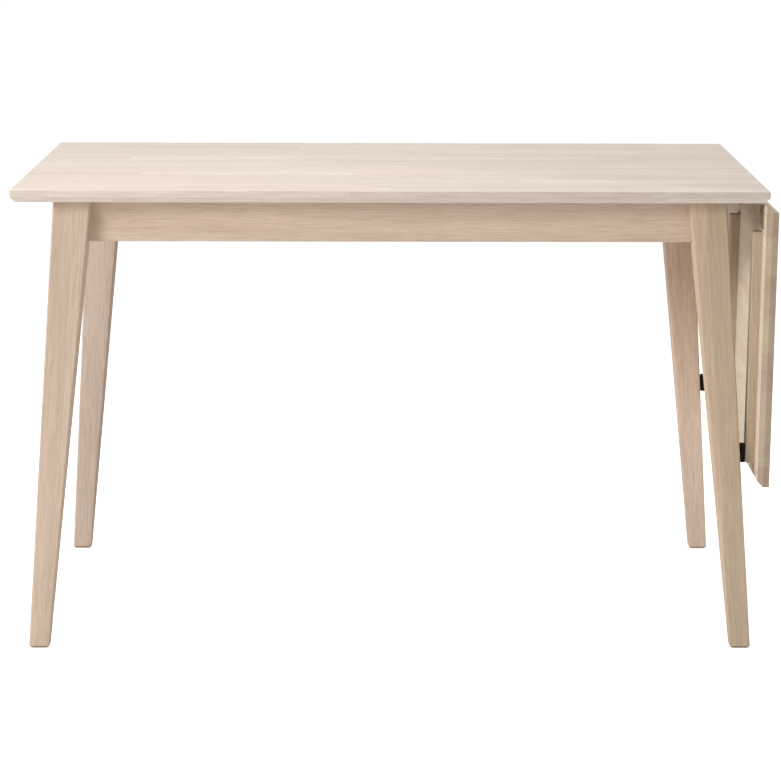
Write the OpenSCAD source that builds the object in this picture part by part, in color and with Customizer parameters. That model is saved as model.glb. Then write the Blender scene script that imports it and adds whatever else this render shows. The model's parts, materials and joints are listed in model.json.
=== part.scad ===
// Extending dining table in solid oak, with one hinged leaf that hangs down at the right-hand end.
// X runs along the table, towards the leaf. Y runs to the back, and Z up from the floor.

/* [Table top] */
// Length of the fixed top
top_l = 1200; // [1000:10:1800]
// Width of the fixed top and of the leaf
top_w = 800; // [700:10:1000]
// Height of the table top above the floor
table_h = 745; // [700:5:780]
// Thickness of the top and of the leaf
top_t = 19; // [17:0.5:28]
// Height of the square part of the edge, above the bevel
edge_land = 10; // [5:0.5:12]
// How far the bevel below the edge runs in
edge_in = 9; // [6:0.5:14]
// Chamfer along the upper edges of the top and the leaf
arris = 0.8; // [0.4:0.1:1.5]
// Radius of the corners of the top
corner_r = 3; // [1:0.5:5]

/* [Leaf] */
// Length of the leaf, measured on its upper face
leaf_l = 443; // [400:1:500]
// Gap between the top and the raised leaf
leaf_gap = 1.4; // [0.6:0.1:1.6]
// Angle by which the hanging leaf leans in towards the legs
leaf_lean = 0.9; // [0.4:0.1:1.2]

/* [Leaf battens] */
// Width of a batten along the table's width
batten_w = 28; // [24:1:36]
// Thickness of a batten
batten_t = 15.5; // [12:0.5:17]
// Length of the front and rear battens
batten_l = 375; // [330:1:390]
// Length of the middle batten
middle_batten_l = 363; // [320:1:370]
// Distance from the leaf's side to the first batten
batten_side = 50; // [40:1:70]
// Gap between a hinge plate and the upper end of its batten
batten_end = 5; // [4:0.5:12]
// How much lower the middle batten starts
middle_drop = 12; // [0:1:16]
// Radius of a batten's long inner edges and of its ends
batten_r = 2.5; // [1:0.5:5]
// Height of a rubber bumper on a batten
bumper_l = 28; // [20:1:40]
// Radius of a bumper's edges
bumper_r = 1.5; // [0.5:0.5:2.5]
// Gap between a bumper and the leg that it rests against
bumper_gap = 0.3; // [0.2:0.1:1]

/* [Legs] */
// Side of a leg's square section below the top
leg_head = 60.5; // [55:0.5:70]
// Side of a leg's square section at the floor
leg_foot = 32.5; // [28:0.5:40]
// Distance from the top's edge in to the leg's outer face, below the top
leg_set_head = 62.5; // [60:0.5:75]
// Distance from the top's edge in to the leg's outer face, at the floor
leg_set_foot = 16; // [10:0.5:30]
// Radius of a leg's long edges
leg_r = 3.5; // [2:0.5:4.5]
// Chamfer round the foot
foot_chamfer = 3; // [2:0.5:4]
// Radius of a floor glide
glide_r = 9; // [7:0.5:10]
// Thickness of a floor glide
glide_t = 4; // [3:0.5:5]
// How far a glide stands out of the foot
glide_proud = 1; // [0.5:0.5:2]
// Chamfer round the lower rim of a glide
glide_rim = 0.6; // [0.2:0.1:1]

/* [Frame] */
// Height of the aprons
apron_h = 71.5; // [66:0.5:90]
// Thickness of the aprons and of the cross rail
apron_t = 20; // [18:1:22]
// Step from a leg's outer face in to the apron
apron_step = 20; // [5:0.5:24]
// Radius of the lower edges of the aprons and lopers
edge_r = 2; // [1:0.5:3]
// Height of the cross rail
rail_h = 60; // [56:1:66]
// Distance from the end apron's inner face to the cross rail's centre line
rail_x = 140; // [110:5:190]

/* [Corner fittings] */
// Thickness of the steel corner plates
plate_t = 2; // [1.5:0.5:3]
// Height of a corner plate
plate_h = 45; // [36:1:50]
// Length of a corner plate's flanges
flange_l = 24; // [20:1:30]
// Radius of the corners of the flanges
flange_r = 5; // [2:0.5:8]
// Radius of the leg bolts
bolt_r = 4; // [3:0.5:5]
// Depth of a leg bolt in the leg
bolt_depth = 38; // [30:1:44]
// Length of the point of a leg bolt
bolt_tip = 5; // [3:0.5:8]
// Radius of a washer under a nut
washer_r = 9; // [7:0.5:10]
// Thickness of a washer
washer_t = 1.5; // [1:0.1:2]
// Width of a nut across its corners
nut_w = 15; // [12:0.5:18]
// Height of a nut
nut_h = 6.5; // [5:0.5:8]
// Height of the chamfer at a nut's corners
nut_chamfer = 0.8; // [0.4:0.1:1.2]

/* [Top brackets] */
// Length of each arm of a bracket
bracket_l = 25; // [20:1:30]
// Width of a bracket
bracket_w = 20; // [16:1:26]
// Thickness of a bracket
bracket_t = 2; // [1.5:0.5:2.5]
// Radius of the corners of a bracket
bracket_r = 4; // [2:0.5:7]
// Length of the slot that lets the top swell and shrink
bracket_slot = 5; // [3:0.5:7]
// Distance from the cross rail's centre line to the brackets beside it
bracket_set = 65; // [50:5:90]
// Distance from a loper's centre line in to the end aprons' brackets
end_bracket_set = 100; // [60:5:110]

/* [Hinges] */
// Length of a hinge along its pin
hinge_l = 50; // [40:1:70]
// Reach of a hinge plate from the pin
hinge_reach = 42; // [34:1:44]
// Thickness of a hinge plate
hinge_t = 1.5; // [1.2:0.1:2]
// Radius of the corners of a hinge plate
hinge_r = 4; // [1:0.5:6]
// Distance from the underside of the top down to the pin
pin_drop = 3.5; // [3.3:0.1:4]
// Radius of a knuckle
knuckle_r = 3; // [2.6:0.1:3.2]
// Radius of a hinge pin
pin_r = 1.2; // [1:0.1:1.4]

/* [Lopers] */
// Length of a loper, the bar that is pulled out below the raised leaf
loper_l = 560; // [500:5:600]
// Width of a loper
loper_w = 28; // [22:1:34]
// Height of a loper
loper_h = 35; // [28:1:38]
// Distance from the top's side in to a loper's centre line
loper_y = 220; // [200:5:250]
// Full travel of a loper
loper_travel = 320; // [260:5:330]
// How far a parked loper's end lies behind the apron's face
loper_set = 1; // [0:0.5:3]
// Radius of the corners of a loper's outer end
loper_r = 4; // [2:0.5:8]
// Radius of a loper's stop pin
stop_r = 4; // [3:0.5:5]
// How far a stop pin stands out on each side
stop_out = 8; // [6:1:10]
// Chamfer at the ends of a stop pin
stop_chamfer = 0.8; // [0.4:0.1:1.5]
// Radius of the finger groove below a loper
groove_r = 12; // [8:1:14]

/* [Screws and clearances] */
// Radius of a screw's shank
screw_r = 1.8; // [1.5:0.1:2]
// Radius of a screw's head
head_r = 3.6; // [3:0.1:4]
// Height of a screw's head
head_h = 1.8; // [1.4:0.1:2.2]
// Length of a screw's point
screw_tip = 3; // [2:0.5:4]
// Length of a short screw
screw_l = 14; // [12:1:16]
// Length of a batten screw
batten_screw_l = 25; // [22:1:26]
// Depth of the counterbores in the battens
counterbore = 4; // [3:0.5:5]
// Radial clearance of a pin in its bore
pin_clear = 0.05; // [0.03:0.01:0.08]
// Radial clearance of a leg bolt in its corner plate and washer
bolt_clear = 0.5; // [0.2:0.1:0.8]
// Gap between the knuckles of a hinge's two plates
knuckle_gap = 0.3; // [0.2:0.05:0.5]
// Gap round a loper in its notches and below the top
loper_gap = 0.5; // [0.4:0.1:0.8]

/* [Hidden] */
$fn = 48;

// Facets on a quarter of a leg's rounded edge
leg_seg = 5;
// Knuckles on a hinge, the outer ones on the fixed plate
knuckles = 5;
// Bite of a cut past the face that it opens
over = 1;

oak_top = [0.88, 0.83, 0.77];
oak_frame = [0.79, 0.70, 0.60];
steel = [0.60, 0.58, 0.55];
rubber = [0.06, 0.05, 0.05];

// Underside of the top, and the half sizes of the top
under_z = table_h - top_t;
half_l = top_l/2;
half_w = top_w/2;

// The hinge pin lies below the seam of top and leaf
pin_x = half_l - edge_in + leaf_gap/2;
pin_z = under_z - pin_drop;

// The leaf's own frame has its origin on the pin: u points away from the table and w up
leaf_u = pin_drop;
leaf_low = -leaf_gap/2;
leaf_high = leaf_low - edge_in;

// The whole model is shifted so that its box, hanging leaf included, is centred on the origin
leaf_reach = pin_x + (leaf_u + top_t)*cos(leaf_lean) + (leaf_high - arris)*sin(leaf_lean);
mid_x = -(leaf_reach - half_l)/2;

// Legs and aprons
function leg_out(z) = -leg_set_head + (leg_set_head - leg_set_foot)*(under_z - z)/under_z;
function leg_size(z) = leg_head + (leg_foot - leg_head)*(under_z - z)/under_z;
function leg_in(z) = leg_out(z) - leg_size(z);
apron_z = under_z - apron_h;
apron_out = -leg_set_head - apron_step;
apron_in = apron_out - apron_t;
plate_z = under_z - (apron_h + plate_h)/2;
bolt_z = plate_z + plate_h/2;
rail_c = half_l + apron_in - rail_x;

// Battens hang below the hinge plates, row by row across the width
function batten_length(row) = row == 0 ? middle_batten_l : batten_l;
function batten_low(row) =
    -hinge_reach - batten_end - (row == 0 ? middle_drop : 0) - batten_length(row);
batten_y = half_w - batten_side - batten_w/2;

// Bumper: as thick as the space between the leaning batten and the leg
bumper_slope = (leg_set_head - leg_set_foot)/under_z;
bumper_u = (half_l + leg_out(pin_z + batten_low(1)*cos(leaf_lean)) + bumper_gap - pin_x
    - batten_low(1)*sin(leaf_lean))/(cos(leaf_lean) - bumper_slope*sin(leaf_lean));
bumper_t = leaf_u - batten_t - bumper_u;

// Lopers
loper_c = half_w - loper_y;
loper_out = half_l + apron_out - loper_set;
loper_top = under_z - loper_gap;
loper_z = loper_top - loper_h;
stop_x = rail_c - apron_t/2 - stop_r - loper_travel;

// Places of knuckles, screws and brackets
knuckle_l = hinge_l/knuckles;
hinge_screw_x = [hinge_reach*0.40, hinge_reach*0.80];
hinge_screw_y = hinge_l*0.30;
bracket_x = rail_c - bracket_set;
bracket_y = loper_c - end_bracket_set;

// Moves children to the fixed top's frame
module at_table() translate([mid_x, 0, 0]) children();

// Moves children from the leaf's own frame to its hanging place
module at_leaf() at_table() translate([pin_x, 0, pin_z]) rotate([0, leaf_lean, 0]) children();

// Mirrors children into one of the four corners
module in_corner(sx, sy) at_table()
    mirror([sx < 0 ? 1 : 0, 0, 0]) mirror([0, sy < 0 ? 1 : 0, 0]) children();

// Rectangle from x = 0 to the depth, with its two corners at x = 0 rounded
module round_end(depth, width, r) {
    translate([r, -width/2]) square([depth - r, width]);
    translate([0, r - width/2]) square([depth, width - 2*r]);
    for (s = [-1, 1]) translate([r, s*(width/2 - r)]) circle(r);
}

module rounded_rectangle(x0, x1, y, r) {
    translate([x0 + r, -y]) square([x1 - x0 - 2*r, 2*y]);
    translate([x0, r - y]) square([x1 - x0, 2*y - 2*r]);
    for (x = [x0 + r, x1 - r], s = [-1, 1]) translate([x, s*(y - r)]) circle(r);
}

// Shank of a screw along +Z, up to the origin, with its point
module shank(length) {
    translate([0, 0, screw_tip - length]) cylinder(h = length - screw_tip, r = screw_r);
    translate([0, 0, -length]) cylinder(h = screw_tip, r1 = screw_r*0.15, r2 = screw_r);
}

// A pan-headed screw along +Z, with the underside of its head at the origin
module screw(length) {
    shank(length);
    cylinder(h = head_h/2, r = head_r);
    translate([0, 0, head_h/2]) cylinder(h = head_h/2, r1 = head_r, r2 = head_r*0.7);
}

// A countersunk screw along +Z, with the top of its head at the origin
module flat_screw(length) {
    shank(length);
    translate([0, 0, -head_h]) cylinder(h = head_h, r1 = screw_r, r2 = head_r);
}

// Clearance hole for a screw, from the face under its head up through a plate
module screw_hole(thick) {
    translate([0, 0, -over]) cylinder(h = thick + 2*over, r = screw_r + pin_clear);
}

// Countersunk hole, from the face that the head is flush with up through a plate
module flat_screw_hole(thick) {
    screw_hole(thick);
    cylinder(h = head_h, r1 = head_r + pin_clear, r2 = screw_r + pin_clear);
    translate([0, 0, -over]) cylinder(h = over, r = head_r + pin_clear);
}

// Board with a square edge above and a bevel below, between two corners, upper face at z = 0
module bevelled_board(x0, x1, in0, in1) {
    intersection() {
        rotate([90, 0, 0]) translate([0, 0, -half_w]) linear_extrude(top_w)
            polygon([[x0, -arris], [x0 + arris, 0], [x1 - arris, 0], [x1, -arris],
                [x1, -edge_land], [x1 - in1, -top_t], [x0 + in0, -top_t], [x0, -edge_land]]);
        rotate([90, 0, 90]) linear_extrude(height = 2*(top_l + leaf_l), center = true)
            polygon([[-half_w, -arris], [arris - half_w, 0], [half_w - arris, 0], [half_w, -arris],
                [half_w, -edge_land], [half_w - edge_in, -top_t],
                [edge_in - half_w, -top_t], [-half_w, -edge_land]]);
        translate([0, 0, -top_t]) linear_extrude(top_t)
            rounded_rectangle(min(x0, x0 + in0), x1, half_w, corner_r);
    }
}

module table_top() {
    color(oak_top) at_table() translate([0, 0, table_h])
        bevelled_board(-half_l, half_l, edge_in, edge_in);
}

// The leaf hangs with its upper face outwards, and its hinged edge is cut back along the top's bevel
module leaf_panel() {
    color(oak_top) at_leaf() rotate([0, 90, 0]) translate([-leaf_high, 0, leaf_u + top_t])
        bevelled_board(0, leaf_l, -edge_in, edge_in);
}

function leg_ring(size, r, out_x, out_y, z) = [
    for (q = [0:3], k = [0:leg_seg])
        let (a = 90*q + 90*k/leg_seg,
            x = out_x - r - (q == 1 || q == 2 ? size - 2*r : 0),
            y = out_y - r - (q >= 2 ? size - 2*r : 0))
        [x + r*cos(a), y + r*sin(a), z]
];

// Tapered leg whose outer faces splay towards the corner of the top, chamfered round the foot
module leg(sx, sy) {
    n = 4*(leg_seg + 1);
    foot_z = glide_proud;
    knee_z = glide_proud + foot_chamfer;
    knee = leg_out(knee_z);
    points = concat(
        leg_ring(leg_size(knee_z) - 2*foot_chamfer, leg_r,
            half_l + knee - foot_chamfer, half_w + knee - foot_chamfer, foot_z),
        leg_ring(leg_size(knee_z), leg_r, half_l + knee, half_w + knee, knee_z),
        leg_ring(leg_head, leg_r, half_l - leg_set_head, half_w - leg_set_head, under_z));
    sides = [for (i = [0:1], j = [0:n - 1])
        [i*n + j, (i + 1)*n + j, (i + 1)*n + (j + 1)%n, i*n + (j + 1)%n]];
    color(oak_frame) in_corner(sx, sy) difference() {
        polyhedron(points,
            concat([[for (j = [0:n - 1]) j]], sides, [[for (j = [n - 1:-1:0]) 2*n + j]]));
        glide_place() cylinder(h = glide_t, r = glide_r + pin_clear);
    }
}

// Moves children to the middle of a foot, in the corner's own frame
module glide_place() {
    c = leg_out(0) - leg_foot/2;
    translate([half_l + c, half_w + c, 0]) children();
}

module glide(sx, sy) {
    color(rubber) in_corner(sx, sy) glide_place() {
        cylinder(h = glide_rim, r1 = glide_r - glide_rim, r2 = glide_r);
        translate([0, 0, glide_rim]) cylinder(h = glide_t - glide_rim, r = glide_r);
    }
}

// Cross-section of an apron with its lower edges rounded, standing on y = 0
module apron_section() rotate(90) round_end(apron_h, apron_t, edge_r);

// Long apron between two legs, its ends cut to the slope of the legs
module long_apron(sy) {
    color(oak_frame) at_table() translate([0, sy*(half_w + (apron_out + apron_in)/2), 0]) intersection() {
        rotate([90, 0, 0]) linear_extrude(height = 2*apron_t, center = true) polygon([
            [-half_l - leg_in(under_z), under_z], [half_l + leg_in(under_z), under_z],
            [half_l + leg_in(apron_z), apron_z], [-half_l - leg_in(apron_z), apron_z]]);
        translate([0, 0, apron_z]) rotate([90, 0, 90])
            linear_extrude(height = 2*half_l, center = true) apron_section();
    }
}

module end_apron_blank(sx) {
    at_table() translate([sx*(half_l + (apron_out + apron_in)/2), 0, 0]) intersection() {
        rotate([90, 0, 90]) linear_extrude(height = 2*apron_t, center = true) polygon([
            [-half_w - leg_in(under_z), under_z], [half_w + leg_in(under_z), under_z],
            [half_w + leg_in(apron_z), apron_z], [-half_w - leg_in(apron_z), apron_z]]);
        translate([0, 0, apron_z]) rotate([90, 0, 0])
            linear_extrude(height = 2*half_w, center = true) apron_section();
    }
}

// Notch for a loper, open at the top, through a board at x
module loper_notch(x, sy) {
    w = loper_w + 2*loper_gap;
    at_table() translate([x - apron_t/2 - over, sy*loper_c - w/2, loper_z - loper_gap])
        cube([apron_t + 2*over, w, loper_h + 2*loper_gap + over]);
}

module apron_left() {
    color(oak_frame) end_apron_blank(-1);
}

module apron_right() {
    color(oak_frame) difference() {
        end_apron_blank(1);
        for (sy = [-1, 1]) loper_notch(half_l + (apron_out + apron_in)/2, sy);
    }
}

module cross_rail() {
    color(oak_frame) difference() {
        at_table() translate([rail_c - apron_t/2, -half_w - apron_in, under_z - rail_h])
            cube([apron_t, 2*(half_w + apron_in), rail_h]);
        for (sy = [-1, 1]) loper_notch(rail_c, sy);
    }
}

// Where the corner plate's web stands: x + y is this sum on its outer face
web_sum = half_l + half_w + 2*leg_in(under_z) - pin_clear;
in_x = half_l + apron_in;
in_y = half_w + apron_in;

// Steel plate across a corner, with a flange on each apron
module corner_plate(sx, sy) {
    w = plate_t*sqrt(2);
    color(steel) in_corner(sx, sy) difference() {
        union() {
            translate([0, 0, plate_z]) linear_extrude(plate_h)
                polygon([[in_x, web_sum - in_x], [web_sum - in_y, in_y],
                    [web_sum - in_y - w, in_y], [in_x, web_sum - in_x - w]]);
            translate([in_x - plate_t, 0, 0]) rotate([90, 0, 90]) linear_extrude(plate_t)
                translate([web_sum - in_x - flange_l, bolt_z]) round_end(flange_l, plate_h, flange_r);
            translate([0, in_y, 0]) rotate([90, 0, 0]) linear_extrude(plate_t)
                translate([web_sum - in_y - flange_l, bolt_z]) round_end(flange_l, plate_h, flange_r);
        }
        bolt_line() translate([0, 0, -over]) cylinder(h = plate_t + 2*over, r = bolt_r + bolt_clear);
        plate_screw_places() screw_hole(plate_t);
    }
}

// Moves children to a corner plate's screw holes, with +Z into the aprons
module plate_screw_places() for (z = [plate_z + plate_h*0.25, plate_z + plate_h*0.75]) {
    translate([in_x - plate_t, web_sum - in_x - flange_l*0.65, z]) rotate([0, 90, 0]) children();
    translate([web_sum - in_y - flange_l*0.65, in_y - plate_t, z]) rotate([-90, 0, 0]) children();
}

// Moves children to the web's outer face in a corner, with +Z towards the middle of the table
module bolt_line() {
    centre = [half_l + leg_in(bolt_z), half_w + leg_in(bolt_z)];
    off = (centre[0] + centre[1] - web_sum)/2;
    translate([centre[0] - off, centre[1] - off, bolt_z]) rotate([0, -90, 45]) children();
}

// Bolts with a point in the leg and a chamfered end for the nut
module leg_bolts() {
    end = plate_t + washer_t + 2*nut_h;
    color(steel) for (sx = [-1, 1], sy = [-1, 1]) in_corner(sx, sy) bolt_line() {
        translate([0, 0, -bolt_depth]) cylinder(h = bolt_tip, r1 = bolt_r*0.3, r2 = bolt_r);
        translate([0, 0, bolt_tip - bolt_depth])
            cylinder(h = bolt_depth - bolt_tip + end - nut_chamfer, r = bolt_r);
        translate([0, 0, end - nut_chamfer])
            cylinder(h = nut_chamfer, r1 = bolt_r, r2 = bolt_r - nut_chamfer);
    }
}

module leg_washers() {
    color(steel) for (sx = [-1, 1], sy = [-1, 1]) in_corner(sx, sy) bolt_line()
        translate([0, 0, plate_t]) difference() {
            cylinder(h = washer_t, r = washer_r);
            translate([0, 0, -over]) cylinder(h = washer_t + 2*over, r = bolt_r + bolt_clear);
        }
}

// Hexagonal nuts with their corners chamfered above and below
module leg_nuts() {
    r = nut_w/2;
    color(steel) for (sx = [-1, 1], sy = [-1, 1]) in_corner(sx, sy) bolt_line()
        translate([0, 0, plate_t + washer_t]) difference() {
            intersection() {
                cylinder(h = nut_h, r = r, $fn = 6);
                rotate_extrude() polygon([[0, 0], [r - 1.7*nut_chamfer, 0], [r + 0.1, nut_chamfer],
                    [r + 0.1, nut_h - nut_chamfer], [r - 1.7*nut_chamfer, nut_h], [0, nut_h]]);
            }
            translate([0, 0, -over]) cylinder(h = nut_h + 2*over, r = bolt_r + pin_clear);
        }
}

// Places of the top brackets: middle of the bracket's width, and the turn that faces its apron
function bracket_places() = concat(
    [for (x = [-bracket_x, 0, bracket_x], s = [-1, 1]) [x, s*(half_w + apron_in), s*90]],
    [for (y = [-bracket_y, bracket_y], s = [-1, 1]) [s*(half_l + apron_in), y, s > 0 ? 0 : 180]]);

// Moves children to each bracket, with +X into the apron and +Z up at the top's underside
module at_brackets() at_table() for (p = bracket_places())
    translate([p[0], p[1], under_z]) rotate([0, 0, p[2]]) children();

// Moves children to a bracket's screw holes, with +Z into the wood
module bracket_top_screw() translate([-bracket_l*0.6, 0, -bracket_t]) children();
module bracket_side_screw() translate([-bracket_t, 0, -bracket_l*0.6]) rotate([0, 90, 0]) children();

// Angle brackets with rounded ends, slotted where they hold the top
module top_brackets() {
    slot_r = screw_r + pin_clear;
    color(steel) at_brackets() difference() {
        union() {
            translate([-bracket_l, 0, -bracket_t]) linear_extrude(bracket_t)
                round_end(bracket_l, bracket_w, bracket_r);
            translate([-bracket_t, 0, -bracket_l]) rotate([90, 0, 90]) linear_extrude(bracket_t)
                rotate(90) round_end(bracket_l, bracket_w, bracket_r);
        }
        bracket_side_screw() screw_hole(bracket_t);
        bracket_top_screw() translate([0, 0, -over]) linear_extrude(bracket_t + 2*over) {
            square([bracket_slot, 2*slot_r], center = true);
            for (s = [-1, 1]) translate([s*bracket_slot/2, 0]) circle(slot_r);
        }
    }
}

module frame_screws() {
    color(steel) {
        at_brackets() {
            bracket_top_screw() rotate([180, 0, 0]) screw(screw_l);
            bracket_side_screw() rotate([180, 0, 0]) screw(screw_l);
        }
        for (sx = [-1, 1], sy = [-1, 1]) in_corner(sx, sy) plate_screw_places()
            rotate([180, 0, 0]) screw(screw_l);
    }
}

// One plate of a hinge in its own frame: pin along Y at the origin, plate along -X, its face at z = pin_drop
module hinge_plate(first) {
    difference() {
        union() {
            translate([-hinge_reach, 0, pin_drop - hinge_t]) linear_extrude(hinge_t)
                round_end(hinge_reach - knuckle_r - knuckle_gap, hinge_l, hinge_r);
            for (k = [first:2:knuckles - 1]) {
                y0 = -hinge_l/2 + k*knuckle_l + (k > 0 ? knuckle_gap/2 : 0);
                y1 = -hinge_l/2 + (k + 1)*knuckle_l - (k < knuckles - 1 ? knuckle_gap/2 : 0);
                translate([0, y1, 0]) rotate([90, 0, 0]) cylinder(h = y1 - y0, r = knuckle_r);
                translate([-knuckle_r - knuckle_gap - over, y0, knuckle_r - hinge_t])
                    cube([knuckle_r + knuckle_gap + over, y1 - y0, hinge_t]);
            }
        }
        translate([0, hinge_l/2 + over, 0]) rotate([90, 0, 0])
            cylinder(h = hinge_l + 2*over, r = pin_r + pin_clear);
        hinge_screw_places() flat_screw_hole(hinge_t);
    }
}

// Moves children to a plate's screw holes, on the side away from the wood
module hinge_screw_places() translate([0, 0, pin_drop - hinge_t]) {
    for (s = [-1, 1]) translate([-hinge_screw_x[0], s*hinge_screw_y, 0]) children();
    translate([-hinge_screw_x[1], 0, 0]) children();
}

module at_hinge(row) at_table() translate([pin_x, row*batten_y, pin_z]) children();

// The swinging plate hangs from the pin with its face on the leaf
module at_swing(row) at_leaf() translate([0, row*batten_y, 0]) rotate([0, -90, 180]) children();

module fixed_plate(row) {
    color(steel) at_hinge(row) hinge_plate(0);
}

module swing_plate(row) {
    color(steel) at_swing(row) hinge_plate(1);
}

module hinge_pin(row) {
    color(steel) at_hinge(row) translate([0, hinge_l/2, 0]) rotate([90, 0, 0])
        cylinder(h = hinge_l, r = pin_r);
}

module top_hinge_screws() {
    color(steel) for (row = [-1:1]) at_hinge(row) hinge_screw_places()
        rotate([180, 0, 0]) flat_screw(screw_l);
}

module leaf_hinge_screws() {
    color(steel) for (row = [-1:1]) at_swing(row) hinge_screw_places()
        rotate([180, 0, 0]) flat_screw(screw_l);
}

// Moves children to the inner face of a batten at its screws, with +Z out of the batten
module batten_screw_places(row) {
    free = batten_length(row) - bumper_l;
    for (f = [0.1, 0.5, 0.82]) at_leaf()
        translate([leaf_u - batten_t, row*batten_y, batten_low(row) + bumper_l + f*free])
            rotate([0, -90, 0]) children();
}

// Block in the leaf's frame that stands in from u, its inner edges and ends rounded
module soft_block(u, thick, wide, long, r) {
    translate([u, 0, 0]) intersection() {
        linear_extrude(long) round_end(thick, wide, r);
        rotate([90, 0, 0]) linear_extrude(height = 2*wide, center = true)
            translate([0, long/2]) round_end(thick, long, r);
    }
}

module batten(row) {
    color(oak_frame) difference() {
        at_leaf() translate([0, row*batten_y, batten_low(row)])
            soft_block(leaf_u - batten_t, batten_t, batten_w, batten_length(row), batten_r);
        batten_screw_places(row) translate([0, 0, -counterbore])
            cylinder(h = counterbore + over, r = head_r + pin_clear);
    }
}

module batten_screws() {
    color(steel) for (row = [-1:1]) batten_screw_places(row)
        translate([0, 0, -counterbore]) screw(batten_screw_l);
}

// Rubber block at the lower end of an outer batten
module bumper(row) {
    color(rubber) at_leaf() translate([0, row*batten_y, batten_low(row)])
        soft_block(bumper_u, bumper_t, batten_w - 2*batten_r, bumper_l, bumper_r);
}

// Bar that slides through the end apron and the cross rail, with a groove to pull it by
module loper(sy) {
    color(oak_frame) at_table() translate([loper_out - loper_l, sy*loper_c, loper_z]) difference() {
        intersection() {
            rotate([90, 0, 0]) linear_extrude(height = 2*loper_w, center = true)
                translate([loper_l, loper_h/2]) mirror([1, 0]) round_end(loper_l, loper_h, loper_r);
            rotate([90, 0, 90]) linear_extrude(loper_l) rotate(90) round_end(loper_h, loper_w, edge_r);
        }
        translate([loper_l - 2*groove_r, loper_w/2 + over, -groove_r/2]) rotate([90, 0, 0])
            cylinder(h = loper_w + 2*over, r = groove_r);
        translate([stop_x - loper_out + loper_l, loper_w/2 + over, loper_h/2])
            rotate([90, 0, 0]) cylinder(h = loper_w + 2*over, r = stop_r + pin_clear);
    }
}

module stop_pin(sy) {
    l = loper_w + 2*stop_out;
    color(oak_frame) at_table() translate([stop_x, sy*loper_c + l/2, loper_z + loper_h/2])
        rotate([90, 0, 0]) {
            cylinder(h = stop_chamfer, r1 = stop_r - stop_chamfer, r2 = stop_r);
            translate([0, 0, stop_chamfer]) cylinder(h = l - 2*stop_chamfer, r = stop_r);
            translate([0, 0, l - stop_chamfer])
                cylinder(h = stop_chamfer, r1 = stop_r, r2 = stop_r - stop_chamfer);
        }
}

table_top();
long_apron(-1);  // apron_front
long_apron(1);  // apron_rear
apron_left();
apron_right();
cross_rail();
leg(-1, -1);  // leg_front_left
leg(1, -1);  // leg_front_right
leg(-1, 1);  // leg_rear_left
leg(1, 1);  // leg_rear_right
glide(-1, -1);  // glide_front_left
glide(1, -1);  // glide_front_right
glide(-1, 1);  // glide_rear_left
glide(1, 1);  // glide_rear_right
corner_plate(-1, -1);  // corner_plate_front_left
corner_plate(1, -1);  // corner_plate_front_right
corner_plate(-1, 1);  // corner_plate_rear_left
corner_plate(1, 1);  // corner_plate_rear_right
leg_bolts();
leg_washers();
leg_nuts();
top_brackets();
frame_screws();
fixed_plate(-1);  // fixed_plate_front
fixed_plate(0);  // fixed_plate_middle
fixed_plate(1);  // fixed_plate_rear
hinge_pin(-1);  // hinge_pin_front
hinge_pin(0);  // hinge_pin_middle
hinge_pin(1);  // hinge_pin_rear
top_hinge_screws();
leaf_panel();
swing_plate(-1);  // swing_plate_front
swing_plate(0);  // swing_plate_middle
swing_plate(1);  // swing_plate_rear
leaf_hinge_screws();
batten(-1);  // batten_front
batten(0);  // batten_middle
batten(1);  // batten_rear
batten_screws();
bumper(-1);  // bumper_front
bumper(1);  // bumper_rear
loper(-1);  // loper_front
loper(1);  // loper_rear
stop_pin(-1);  // stop_pin_front
stop_pin(1);  // stop_pin_rear
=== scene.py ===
import json
import math

import bmesh
import bpy
import numpy as np
from bpy.props import FloatProperty, FloatVectorProperty, PointerProperty
from mathutils import Matrix, Vector


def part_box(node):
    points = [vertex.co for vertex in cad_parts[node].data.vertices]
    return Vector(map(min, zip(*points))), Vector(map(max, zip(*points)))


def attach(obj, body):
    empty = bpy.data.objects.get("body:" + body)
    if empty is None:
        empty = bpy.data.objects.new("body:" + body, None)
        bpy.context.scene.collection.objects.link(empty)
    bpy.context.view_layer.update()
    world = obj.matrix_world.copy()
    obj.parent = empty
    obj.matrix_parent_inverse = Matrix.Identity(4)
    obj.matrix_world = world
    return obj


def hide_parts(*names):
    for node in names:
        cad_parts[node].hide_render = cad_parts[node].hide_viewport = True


bl_info = {
    "name": "Extending Dining Table",
    "version": (1, 0, 0),
    "blender": (4, 5, 0),
    "location": "3D View > Sidebar > Table",
    "description": "Dresses an oak dining table with a hanging leaf and sets up its studio",
    "category": "Add Mesh",
}

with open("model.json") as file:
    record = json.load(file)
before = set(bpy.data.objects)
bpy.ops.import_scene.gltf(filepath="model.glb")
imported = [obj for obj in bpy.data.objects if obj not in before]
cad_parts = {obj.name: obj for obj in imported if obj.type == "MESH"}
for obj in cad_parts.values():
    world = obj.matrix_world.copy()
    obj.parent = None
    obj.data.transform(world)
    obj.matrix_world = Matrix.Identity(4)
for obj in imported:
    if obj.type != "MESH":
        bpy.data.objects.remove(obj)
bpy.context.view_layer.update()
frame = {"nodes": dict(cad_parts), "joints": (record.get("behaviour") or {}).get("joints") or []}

TOP_LOW, TOP_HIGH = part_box("table_top")
LEAF_HINGE = Vector(next(joint for joint in frame["joints"] if joint["name"] == "leaf_hinge")["pos_m"])
UNDER_Z = TOP_LOW[2]
THICK = TOP_HIGH[2] - TOP_LOW[2]
MID_X = (TOP_LOW[0] + TOP_HIGH[0]) / 2
HALF_L = (TOP_HIGH[0] - TOP_LOW[0]) / 2
HALF_W = (TOP_HIGH[1] - TOP_LOW[1]) / 2
CORNERS = {"front_left": (-1, -1), "front_right": (1, -1), "rear_left": (-1, 1), "rear_right": (1, 1)}

# Points closer than this are the same point, and what is this near a plane lies on it
SAME_POINT = 1e-7
ON_PLANE = 1e-5


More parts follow.
